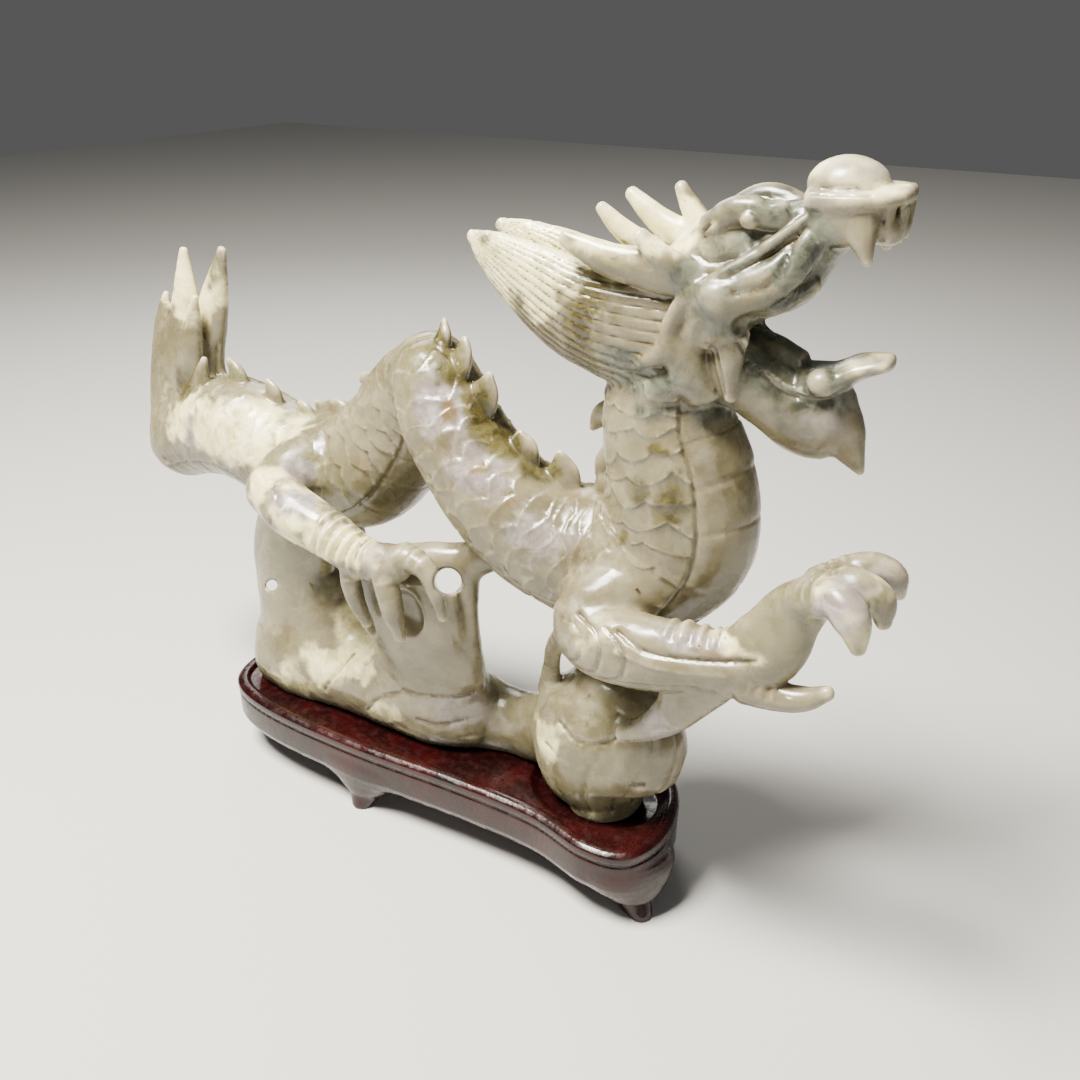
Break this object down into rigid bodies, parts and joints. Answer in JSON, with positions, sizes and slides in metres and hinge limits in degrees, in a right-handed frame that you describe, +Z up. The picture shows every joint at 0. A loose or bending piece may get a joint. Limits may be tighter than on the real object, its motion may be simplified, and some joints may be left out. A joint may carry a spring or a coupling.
{
  "type": "jade dragon carving on a stand",
  "caption": "Striding dragon carved from one stone with an arched scaled body, fluted mane, open jaws and raised claw, on a lacquered wooden stand.",
  "frame": {"origin": "middle of the whole part's box at the level the feet stand on", "axes": "+X towards the dragon's head, +Z up, -Y towards the side with the carved front legs"},
  "size_m": [0.5078, 0.1278, 0.3888],
  "materials": {
    "jade": "polished cream and celadon jade with lavender, olive and grey-green patches",
    "lacquer": "glossy dark red lacquer over wood"
  },
  "bodies": {
    "root": {"dragon_carving": "jade", "stand": "lacquer"}
  },
  "joints": []
}
